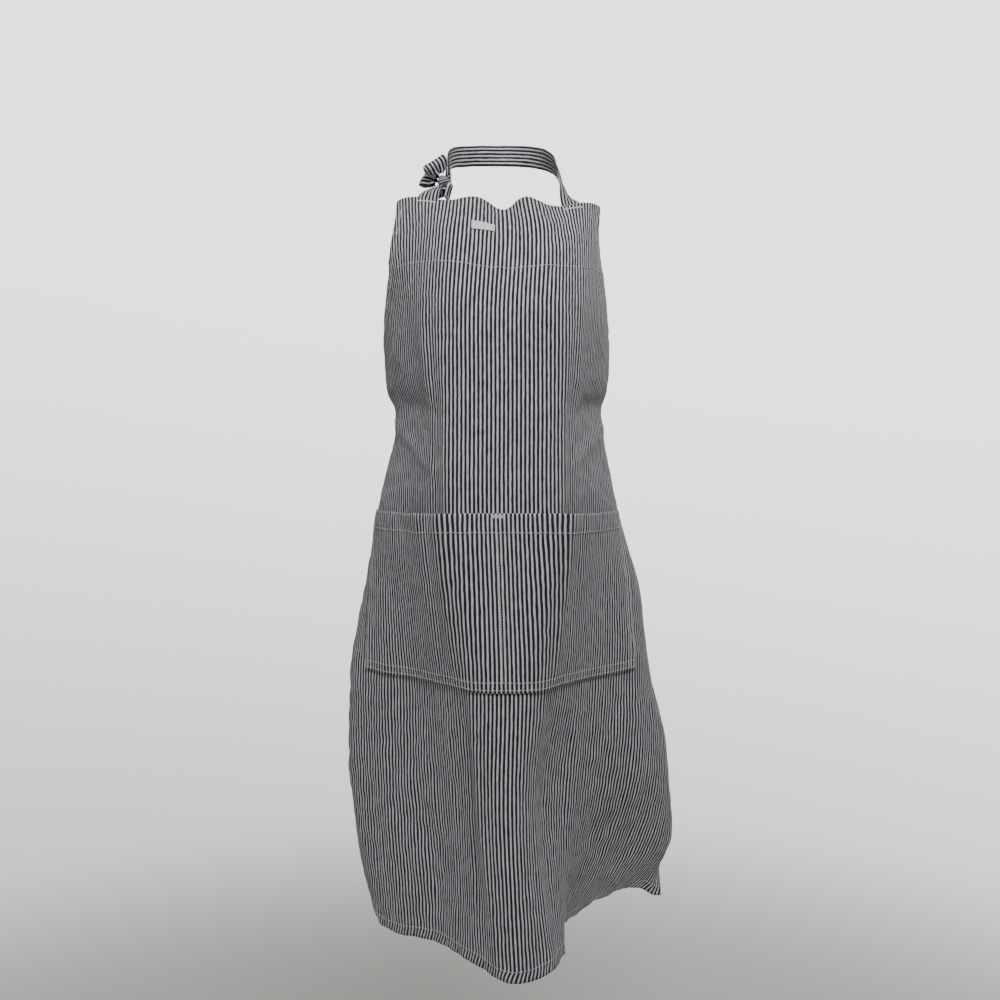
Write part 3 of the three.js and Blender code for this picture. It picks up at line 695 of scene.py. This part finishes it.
def pocket_gap(across, drop):
    """How far the pocket stands off the panel."""
    half = pocket_width / 2 - pocket_seam_inset
    place = np.minimum(np.abs(np.asarray(across, float) - pocket_shift) / half, 1)
    down = np.clip((np.asarray(drop, float) - pocket_drop) / pocket_height, 0, 1)
    bulge = np.sin(math.pi * place) * np.cos(math.pi / 2 * down)
    return pocket_seat + pocket_gape * np.maximum(bulge, 0)


pocket_across, pocket_down = np.meshgrid(
    np.linspace(pocket_left, pocket_right, 141), np.linspace(pocket_drop, pocket_foot, 64))
pocket_lift = pocket_gap(pocket_across, pocket_down)
from_mouth = pocket_down - pocket_drop
from_foot = pocket_foot - pocket_down
from_edge = np.minimum(pocket_across - pocket_left, pocket_right - pocket_across)
mouth_hem = ramp(pocket_hem_depth + 1 - from_mouth, 0, 3)
turned = np.maximum(ramp(12 - from_foot, 0, 3), ramp(11 - from_edge, 0, 3))
near_foot = ramp(18 - from_foot, 0, 12)
near_mouth = ramp(26 - from_mouth, 0, 12)
pocket_pucker = 0.5 * waver(pocket_across, pocket_down * 0.3, 10, 12) * near_foot
pocket_pucker += 0.35 * waver(pocket_across, pocket_down * 0.4, 12, 13) * near_mouth
pocket_out = pocket_lift + pocket_pucker + cloth_thickness + 0.35 * np.maximum(mouth_hem, turned)
pocket_in = pocket_lift + pocket_pucker * 0.5 - 0.7 * mouth_hem
pocket = closed_cloth(
    "patch_pocket", on_cloth(pocket_across, pocket_down, pocket_out + 0.3),
    on_cloth(pocket_across, pocket_down, pocket_in + 0.3),
    np.dstack([pocket_across, pocket_down]),
)
pocket_cotton = striped_cotton("striped_cotton_drill_pocket", shift=1.9)
stands_for(pocket, ["pocket_panel"], pocket_cotton)

# ---- Label ----
# A small woven label of white polyester satin, its ends folded under, sewn near the top of
# the bib a little out of true. It is left blank.
label_width = 26
label_height = 10
label_drop = 46
label_shift = -25
label_turn = math.radians(-2)
label_out = 0.75
label_thickness = 0.55

label_x, label_y = np.meshgrid(np.linspace(-0.5, 0.5, 41), np.linspace(-0.5, 0.5, 17))
label_x = label_x * label_width
label_y = label_y * label_height
label_across = label_shift + label_x * math.cos(label_turn) - label_y * math.sin(label_turn)
label_down = label_drop + label_x * math.sin(label_turn) + label_y * math.cos(label_turn)
curl = 0.5 * ramp(np.abs(label_x), 9, 13) * ramp(-label_y, 0, 5)
label_rise = label_out + curl + 0.12 * waver(label_x, label_y, 8, 21)
label = closed_cloth(
    "bib_label_woven", on_cloth(label_across, label_down, label_rise + label_thickness),
    on_cloth(label_across, label_down, label_rise), np.dstack([label_x, label_y]),
)
material, tree, output = new_material("woven_polyester_satin")
cut = add(tree, "ShaderNodeUVMap", uv_map="cut").outputs["UV"]
picks = scaled(tree, cut, 1, 1)
ribs = add(tree, "ShaderNodeTexWave", {
    "Vector": picks, "Scale": 0.9, "Distortion": 0.4, "Detail": 1.0,
}, bands_direction="Y")
tint = mixed(tree, noise(tree, picks, 0.35, 4.0), linear("fafafa"), linear("e9eaec"))
surface(tree, output, tint, ribs.outputs["Fac"], 0.4, 0.1, {
    "Roughness": 0.5, "Sheen Weight": 0.3,
})
stands_for(label, ["bib_label"], material)

# ---- Stitching ----
# White polyester core-spun thread in lockstitch, about eight stitches to the inch. Each
# stitch is one short bead of thread that dips into the cloth at both ends, and the dense
# bars at the pocket and the straps are the same beads laid side by side.
stitch_spacing = 3.1
stitch_length = 2.9
thread_width = 0.75
thread_height = 0.6


def lockstitch_tree(thread):
    """Lays beads of thread along the edges of a mesh whose points hold the direction up."""
    tree = bpy.data.node_groups.new("lockstitch", "GeometryNodeTree")
    kinds = {"Geometry": "Geometry", "Seed": "Int"}
    for name in ("Geometry", "Spacing", "Length", "Width", "Height", "Turn", "Seed"):
        kind = "NodeSocket" + kinds.get(name, "Float")
        tree.interface.new_socket(name, in_out="INPUT", socket_type=kind)
    tree.interface.new_socket("Geometry", in_out="OUTPUT", socket_type="NodeSocketGeometry")
    given = add(tree, "NodeGroupInput").outputs
    line = add(tree, "GeometryNodeMeshToCurve", {0: given["Geometry"]})
    places = add(tree, "GeometryNodeCurveToPoints", {
        "Curve": line.outputs[0], "Length": given["Spacing"],
    }, mode="LENGTH")
    up = add(tree, "GeometryNodeInputNamedAttribute", {"Name": "up"}, data_type="FLOAT_VECTOR")
    along = add(tree, "FunctionNodeAlignRotationToVector", {
        "Vector": places.outputs["Tangent"],
    }, axis="X")
    upright = add(tree, "FunctionNodeAlignRotationToVector", {
        "Rotation": along.outputs[0], "Vector": up.outputs["Attribute"],
    }, axis="Z", pivot_axis="X")
    sway = add(tree, "FunctionNodeRandomValue", {
        "Min": -0.07, "Max": 0.07, "Seed": given["Seed"],
    }, data_type="FLOAT")
    sway_output = next(s for s in sway.outputs if s.enabled)
    swing = maths(tree, "ADD", sway_output, given["Turn"])
    about = add(tree, "ShaderNodeCombineXYZ", {"Z": swing})
    spin = add(tree, "FunctionNodeEulerToRotation", {0: about.outputs[0]})
    turned = add(tree, "FunctionNodeRotateRotation", {
        "Rotation": upright.outputs[0], "Rotate By": spin.outputs[0],
    }, rotation_space="LOCAL")
    bead = add(tree, "GeometryNodeMeshUVSphere", {"Segments": 8, "Rings": 5, "Radius": 0.5})
    smooth = add(tree, "GeometryNodeSetShadeSmooth", {0: bead.outputs[0]})
    shape = add(tree, "ShaderNodeCombineXYZ", {
        "X": given["Length"], "Y": given["Width"], "Z": given["Height"],
    })
    laid = add(tree, "GeometryNodeInstanceOnPoints", {
        "Points": places.outputs["Points"], "Instance": smooth.outputs[0],
        "Rotation": turned.outputs[0], "Scale": shape.outputs[0],
    })
    real = add(tree, "GeometryNodeRealizeInstances", {0: laid.outputs[0]})
    finish = add(tree, "GeometryNodeSetMaterial", {0: real.outputs[0], "Material": thread})
    add(tree, "NodeGroupOutput", {"Geometry": finish.outputs[0]})
    return tree


material, tree, output = new_material("white_polyester_thread")
spot = add(tree, "ShaderNodeTexCoord").outputs["Object"]
tint = mixed(tree, noise(tree, spot, 90.0, 3.0), linear("c2c3c4"), linear("eeeeec"))
surface(tree, output, tint, noise(tree, spot, 2500.0), 0.4, 0.1, {
    "Roughness": 0.62, "Sheen Weight": 0.2,
})
lockstitch = lockstitch_tree(material)


def sew(name, lines, nodes, spacing=None, length=None, width=None, turn=0.0, seed=1):
    """Sews along lines of points that each lie `out` above the cloth, and makes one mesh."""
    points, ups, edges = [], [], []
    for across, drop, out in lines:
        first = len(points)
        low = on_cloth(across, drop, out)
        high = on_cloth(across, drop, np.asarray(out) + 1.0)
        points.extend(low * MM)
        ups.extend(high - low)
        edges.extend((first + k, first + k + 1) for k in range(len(low) - 1))
    mesh = bpy.data.meshes.new(name)
    mesh.from_pydata([tuple(p) for p in points], edges, [])
    mesh.attributes.new("up", "FLOAT_VECTOR", "POINT").data.foreach_set(
        "vector", np.asarray(ups, np.float32).ravel())
    piece = bpy.data.objects.new(name, mesh)
    bpy.context.scene.collection.objects.link(piece)
    modifier = piece.modifiers.new("stitches", "NODES")
    modifier.node_group = lockstitch
    values = {
        "Spacing": (spacing or stitch_spacing) * MM, "Length": (length or stitch_length) * MM,
        "Width": (width or thread_width) * MM, "Height": thread_height * MM,
        "Turn": turn, "Seed": seed,
    }
    for item in lockstitch.interface.items_tree:
        if item.in_out == "INPUT" and item.name in values:
            modifier[item.identifier] = values[item.name]
    sewn = piece.evaluated_get(bpy.context.evaluated_depsgraph_get())
    piece.data = bpy.data.meshes.new_from_object(sewn)
    piece.modifiers.clear()
    bpy.data.meshes.remove(mesh)
    piece.data.name = name
    stands_for(piece, nodes)


def over_line(low, high, drop, out, count=160, wander=0.35, seed=5):
    """A line of sewing across the cloth, as straight as a hand guides it."""
    across = np.linspace(low, high, count)
    down = drop + wander * waver(across, across * 0, 70, seed)
    return across, down, out(across, down)


def down_line(place, top, foot, out, count=120, wander=0.3, seed=6):
    """A line of sewing down the cloth at a place, or at one that changes with the drop."""
    drop = np.linspace(top, foot, count)
    across = place(drop) if callable(place) else place
    across = across + wander * waver(drop, drop * 0, 70, seed)
    return across, drop, out(across, drop)


def on_panel(across, drop):
    return 0.2 + 0.25 * hem_share(panel_length - drop, half_width(drop) - np.abs(across))


def on_pocket(across, drop):
    return pocket_gap(across, drop) + 1.55


strap_inset = {"left": 31, "right": 37}
strap_width = 26
tie_width = 25
strap_tack_depth = 20
row_gap = 8
bar_thread = 0.7
bar_turn = 1.35
seam_top = pocket_drop + 6
hem_line = pocket_drop + pocket_hem_depth

facing_edge = float(half_width(facing_depth)) - 2
sew("facing_topstitch", [over_line(-facing_edge, facing_edge, facing_depth - 3, on_panel)],
    ["facing_stitch"])
hem_edge = panel_width / 2 - 2
sew("bottom_hem_topstitch", [over_line(
    -hem_edge, hem_edge, panel_length - hem_depth, on_panel, 300, seed=9)], ["bottom_hem_stitch"])
sew("pocket_hem_topstitch", [over_line(
    pocket_left + 2, pocket_right - 2, hem_line, on_pocket, seed=10)], ["pocket_hem_stitch"])
for row, up_by, seed in (("lower", 3, 31), ("upper", 3 + row_gap, 32)):
    sew(f"pocket_foot_topstitch_{row}", [over_line(
        pocket_left + 4, pocket_right - 4, pocket_foot - up_by, on_pocket, seed=seed)],
        [f"pocket_foot_stitch_{row}"], seed=seed)
sew("pocket_divider_topstitch", [down_line(
    pocket_shift, hem_line + 2, pocket_foot - 12, on_pocket)], ["pocket_divider_stitch"])

for side, sign in (("left", -1), ("right", 1)):
    pocket_edge = pocket_shift + sign * (pocket_width / 2 - 1.5)
    sew(f"pocket_side_topstitch_{side}", [
        down_line(pocket_edge, seam_top, pocket_foot - 2, on_pocket, seed=14),
        down_line(pocket_edge - sign * 7, seam_top, pocket_foot - 4, on_pocket, seed=15),
    ], [f"pocket_side_stitch_{side}"])

    def inside_hem(t, sign=sign):
        return sign * (half_width(t) - side_hem_depth)

    sew(f"armhole_topstitch_{side}", [
        down_line(inside_hem, strap_tack_depth, armhole_drop - 4, on_panel, 200, seed=16),
    ], [f"armhole_hem_stitch_{side}", f"armhole_hem_stitch_lower_{side}"])
    sew(f"side_hem_topstitch_{side}", [
        down_line(inside_hem, armhole_drop + tie_width + 12, panel_length - hem_depth - 3, on_panel,
                  260, seed=17),
    ], [f"side_hem_stitch_{side}"])

    # Bars: at the pocket's corners, at the foot of the neck strap and at the waist tie.
    strap_middle = sign * (bib_width / 2 - strap_inset[side] - strap_width / 2)
    half_strap = strap_width / 2 - 0.5
    sew(f"neck_strap_bar_{side}", [over_line(
        strap_middle - half_strap, strap_middle + half_strap, 7, on_panel, 60, 0.2, 18)],
        [f"neck_strap_tack_{side}"], 0.62, 2.6, bar_thread, bar_turn, 19)
    corner = pocket_shift + sign * (pocket_width / 2 - 6)
    sew(f"pocket_corner_bar_{side}", [over_line(corner - 5, corner + 5, pocket_drop + 2, on_pocket,
                                                30, 0.1, 20)],
        [f"pocket_bartack_{side}"], 0.55, 2.2, bar_thread, bar_turn, 21)
    tack_place = sign * (panel_width / 2 - 10)
    tie_top = armhole_drop + 2
    sew(f"waist_tie_bar_{side}", [down_line(
        tack_place, tie_top, tie_top + tie_width - 4, on_panel, 40, 0.1, 22)],
        [f"waist_tie_tack_{side}"], 0.62, 2.4, bar_thread, bar_turn, 23)

sew("pocket_centre_bar", [
    over_line(pocket_shift - 6, pocket_shift + 6, pocket_drop + 2.4, on_pocket, 30, 0.05, 24),
    over_line(pocket_shift - 6, pocket_shift + 6, pocket_drop + 4.2, on_pocket, 30, 0.05, 25),
], ["pocket_bartack_centre"], 0.5, 2.2, 0.75, 1.45, 26)

# ---- Neck strap and its bow ----
# Two straps of the same drill, cut lengthwise, folded double and topstitched. The right one
# goes round the neck and the left one stands up, and they are tied in a small tight bow
# above the bib's left corner.
strap_thickness = 1.8
behind_facing = -4.3
strap_taper = 2
strap_gathered = 12
knot_gap = 0.5
neck_knot_radii = np.array([7.0, 7.0, 7.0])
neck_knot_place = np.array([-65.0, -102.0, -64.0])
strap_shares = np.linspace(-0.5, 0.5, 17)


def unit(v):
    v = np.asarray(v, float)
    return v / np.linalg.norm(v)


def strap_path(stops, per_span):
    """Rows of points across a strap. A stop is a place, the way its width runs and the
    width there."""
    places = np.array([s[0] for s in stops], float)
    middle = smooth_curve(places, per_span)
    last = len(stops) - 1
    rows = []
    for n, point in enumerate(middle):
        k = min(n // per_span, last - 1)
        f = n / per_span - k
        eased = f * f * (3 - 2 * f)
        side = unit(unit(stops[k][1]) * (1 - eased) + unit(stops[k + 1][1]) * eased)
        width = stops[k][2] * (1 - eased) + stops[k + 1][2] * eased
        rows.append(point + np.outer(strap_shares * width, side))
    return np.array(rows)


def strap(name, grid, nodes, body="apron", seed=1, rumple=0.5, full_width=26.0,
          gathered=1.0):
    """A doubled strap on a grid of points, with rolled edges, pleats where it is drawn in
    and a slight rumple. Its UV map runs along its length, as the warp does."""
    along = np.concatenate([[0], np.cumsum(np.linalg.norm(
        np.diff(grid[:, len(strap_shares) // 2], axis=0), axis=1))])
    width = np.linalg.norm(grid[:, -1] - grid[:, 0], axis=1)[:, None]
    normal = normals_of(grid)
    u = strap_shares[None, :]
    drawn_in = np.clip(1 - width / full_width, 0, 0.6)
    pleats = gathered * 5.5 * drawn_in * np.cos(2 * math.pi * u * 2.5)
    wave = rumple * waver(u * full_width * 1.6, along[:, None], 34, seed)
    wave = wave + 0.35 * rumple * waver(u * full_width, along[:, None] * 0.5, 11, seed + 1)
    centre = grid + normal * (pleats + wave)[..., None]
    normal = normals_of(centre)
    edge = np.sqrt(np.clip(1 - np.abs(2 * u) ** 10, 0.02, 1))
    seam_dip = 0.16 * np.exp(-((np.abs(u) * full_width - (full_width / 2 - 2.5)) / 0.7) ** 2)
    half = (strap_thickness / 2) * edge - seam_dip + 0 * along[:, None]
    uv = np.dstack([u * full_width + 0 * along[:, None], along[:, None] + 0 * u])
    piece = closed_cloth(name, centre + normal * half[..., None],
                         centre - normal * half[..., None], uv)
    stands_for(piece, nodes, body_cotton, body)


def knot_edge(direction, radii, centre):
    way = unit(direction)
    reach = 1 / np.linalg.norm(way / radii)
    return centre + way * (reach + knot_gap + strap_thickness / 2)


def neck_strap(side, sign, stops, per_span, seed, rumple):
    """A strap from its foot, sewn behind the facing, through its stops to the knot."""
    middle = sign * (bib_width / 2 - strap_inset[side] - strap_width / 2)
    foot = np.array([
        on_cloth(middle + strap_shares * strap_width, 0 * strap_shares + t, behind_facing)
        for t in (20, 15, 10, 5, 0)
    ])
    top = foot[-1]
    start = (top.mean(axis=0), top[-1] - top[0], float(strap_width))
    free = strap_path([start] + stops, per_span)[1:]
    strap(f"neck_strap_{side}_drill", np.vstack([foot, free]), [f"neck_strap_{side}"],
          seed=seed, rumple=rumple)


neck_strap("left", -1, [
    ([-79, -113, -79], [1, -0.35, 0.1], strap_width - strap_taper),
    (knot_edge([-0.4, -0.15, -0.9], neck_knot_radii, neck_knot_place), [1, -0.4, -0.2],
     strap_gathered + 4),
], 12, 41, 0.5)
neck_strap("right", 1, [
    ([73, -101, -72], [0.5, 0.7, -0.5], strap_width - strap_taper),
    ([70, -80, -52], [0.22, 0.68, -0.7], strap_width),
    ([62, -50, -26], [0.15, 0.5, -0.85], strap_width),
    ([38, -13, -6], [0.05, 0.1, -1], strap_width),
    ([0, strap_thickness / 2, 0], [0, 0, -1], strap_width),
    ([-38, -13, -5], [-0.05, 0, -1], strap_width),
    ([-60, -46, -20], [0, 0.2, -1], strap_width - strap_taper),
    (knot_edge([0.7, 0.7, 0.35], neck_knot_radii, neck_knot_place), [0.2, 0.3, -1],
     strap_gathered),
], 14, 42, 0.6)


def knot(name, radii, centre, wraps, node, seed):
    """A pulled knot: a core with bands of strap drawn tight round it."""
    turns, tilts = np.meshgrid(
        np.linspace(0, 2 * math.pi, 73)[:-1], np.linspace(0, math.pi, 38)[1:-1])
    way = np.dstack([np.sin(tilts) * np.cos(turns), np.sin(tilts) * np.sin(turns), np.cos(tilts)])
    lift = 0.90 + 0.02 * waver(turns * 10, tilts * 10, 9, seed)
    uv = np.dstack([turns * 0, tilts * 0])
    for axis, offset, half_band, height in wraps:
        axis = unit(axis)
        away = way @ axis - offset
        band = ramp(half_band - np.abs(away), 0, 0.10)
        folds = 0.018 * np.cos(away / half_band * 9.5)
        new = 0.90 + height + folds
        lift = np.maximum(lift, lift * (1 - band) + new * band)
        first = unit(np.cross(axis, [0.3, 0.5, 0.8]))
        round_way = np.arctan2(way @ np.cross(axis, first), way @ first)
        inside = (band > 0.3)[..., None]
        uv = np.where(inside, np.dstack([away * radii.mean() * 1.9, round_way * radii.mean()]), uv)
    plain = (uv ** 2).sum(axis=2, keepdims=True) == 0
    uv = np.where(plain, np.dstack([turns * 11, tilts * 11]), uv)
    surface = centre + way * (lift[..., None] * radii)
    rows, columns = surface.shape[:2]
    points = np.vstack([surface.reshape(-1, 3), centre + [0, 0, 0.9 * radii[2]],
                        centre - [0, 0, 0.9 * radii[2]]])
    faces = []
    for j in range(rows - 1):
        for i in range(columns):
            a, b = j * columns + i, j * columns + (i + 1) % columns
            faces.append((a, a + columns, b + columns, b))
    crown, base = rows * columns, rows * columns + 1
    for i in range(columns):
        j = (i + 1) % columns
        faces.append((crown, i, j))
        faces.append((base, (rows - 1) * columns + j, (rows - 1) * columns + i))
    piece = mesh_object(name, points * MM, faces)
    piece.data.shade_smooth()
    lay_uv(piece.data, np.vstack([uv.reshape(-1, 2), np.zeros((2, 2))]))
    stands_for(piece, [node], body_cotton)


knot("neck_knot_drill", neck_knot_radii, neck_knot_place,
     [([0.9, 0.2, 0.5], 0.0, 0.42, 0.06), ([0.3, 0.2, -0.9], 0.1, 0.40, 0.10)],
     "neck_knot", 51)


def bow_loop(name, centre, radii, direction, spread, side, length, fatness, width, node, seed):
    """One loop of a bow: out from the knot, round and back, gathered where it enters. A
    step of its shape is a distance out, a distance to the side and a share of its width."""
    out, open_way, across = unit(direction), unit(spread), unit(side)
    root = 1 / np.linalg.norm(out / radii) + knot_gap + strap_thickness
    shape = [(root, 2.0, 0.6), (root + 0.3 * length, 0.75 * fatness, 0.9),
             (root + 0.7 * length, fatness, 1.0), (root + length, 0.0, 1.0)]
    there = [(centre + out * a + open_way * w, across, s * width) for a, w, s in shape]
    back = [(centre + out * a - open_way * w, across, s * width) for a, w, s in shape[-2::-1]]
    strap(name, strap_path(there + back, 12), [node], seed=seed, rumple=0.7, full_width=width)


bow_loop("neck_bow_loop_upper_drill", neck_knot_place, neck_knot_radii,
         [-0.42, -0.5, 0.76], [0.3, -0.9, -0.15], [0.83, 0.1, 0.55], 16, 5, 28,
         "neck_bow_loop_upper", 61)
bow_loop("neck_bow_loop_outer_drill", neck_knot_place, neck_knot_radii,
         [-0.9, 0.25, 0.25], [0.2, 0.95, -0.1], [0.42, 0.1, 0.85], 16, 5, 22,
         "neck_bow_loop_outer", 63)

for name, direction, side, reach, seed in (
    ("front", [0.85, 0.1, -0.3], [0.2, 1, -0.1], [-4, 0, -18], 65),
    ("back", [-0.2, 1, -0.25], [0.8, 0.3, 0.4], [-6, 13, -12], 67),
):
    origin = knot_edge(direction, neck_knot_radii, neck_knot_place)
    end = origin + reach
    mid = (origin + end) / 2 + [0, 0, 2]
    strap(f"neck_strap_end_{name}_drill", strap_path(
        [(origin, side, 12), (mid, side, 16), (end, side, 20)], 14),
        [f"neck_strap_end_{name}"], seed=seed, full_width=20.0)

# ---- Waist ties, bow and tails ----
# A tie of doubled drill is sewn inside the panel at each waist corner. They meet behind the
# waist in a plain bow, and their long tails hang free from the knot.
tie_tack_depth = 20
inside_panel = -2.9
waist_knot_radii = np.array([14.0, 11.0, 11.0])
tie_middle = armhole_drop + tie_width / 2
waist_box = np.array(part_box("waist_knot")) / MM
waist_knot_place = waist_box.mean(axis=0)
tie_gathered = 13
tail_back = 46.0

for name, sign, seed in (("left", -1, 71), ("right", 1, 73)):
    edge = panel_width / 2
    rows = np.array([
        on_cloth(0 * strap_shares + sign * s, tie_middle + strap_shares * tie_width, inside_panel)
        for s in np.linspace(edge - tie_tack_depth, edge, 5)
    ])
    end = rows[-1]
    side = end[-1] - end[0]
    along = unit(end.mean(axis=0) - rows[-2].mean(axis=0))
    stops = [
        (end.mean(axis=0), side, tie_width),
        (end.mean(axis=0) + along * 8, side, tie_width),
        (knot_edge([sign, -0.6, 0], waist_knot_radii, waist_knot_place), [0, 0, -1], tie_gathered),
    ]
    grid = np.vstack([rows, strap_path(stops, 20)[1:]])
    strap(f"waist_tie_{name}_drill", grid, [f"waist_tie_{name}"], seed=seed,
          full_width=float(tie_width))

knot("waist_knot_drill", waist_knot_radii, waist_knot_place,
     [([1.0, 0.15, 0.2], 0.0, 0.45, 0.09), ([0.25, 0.3, 0.9], 0.0, 0.35, 0.02)],
     "waist_knot", 53)

for name, sign, seed in (("left", -1, 81), ("right", 1, 85)):
    bow_loop(f"waist_bow_loop_{name}_drill", waist_knot_place, waist_knot_radii,
             [sign, 0.3, -0.12], [0, 1, 0], [0, 0, 1], 74, 12, 25.0,
             f"waist_bow_loop_{name}", seed)
    low, high = np.array(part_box(f"waist_tie_tail_{name}")) / MM
    top = high[2]
    fall_length = high[2] - low[2]
    y = tail_back
    stops = [
        ([sign * 9, y, top], [1, 0, 0], tie_gathered),
        ([sign * 16, y + 1, top - 40], [1, 0.05, 0], tie_width - 3),
        ([sign * 20, y, top - 0.4 * fall_length], [1, -0.25 * sign, 0], tie_width),
        ([sign * 23, y + 1, top - 0.7 * fall_length], [1, 0.2, 0], tie_width),
        ([sign * 26, y, top - fall_length], [1, -0.1, 0], tie_width),
    ]
    strap(f"waist_tie_tail_{name}_drill", strap_path(stops, 26), [f"waist_tie_tail_{name}"],
          body=f"tail_{name}", seed=seed + 2, rumple=1.2,
          full_width=float(tie_width))
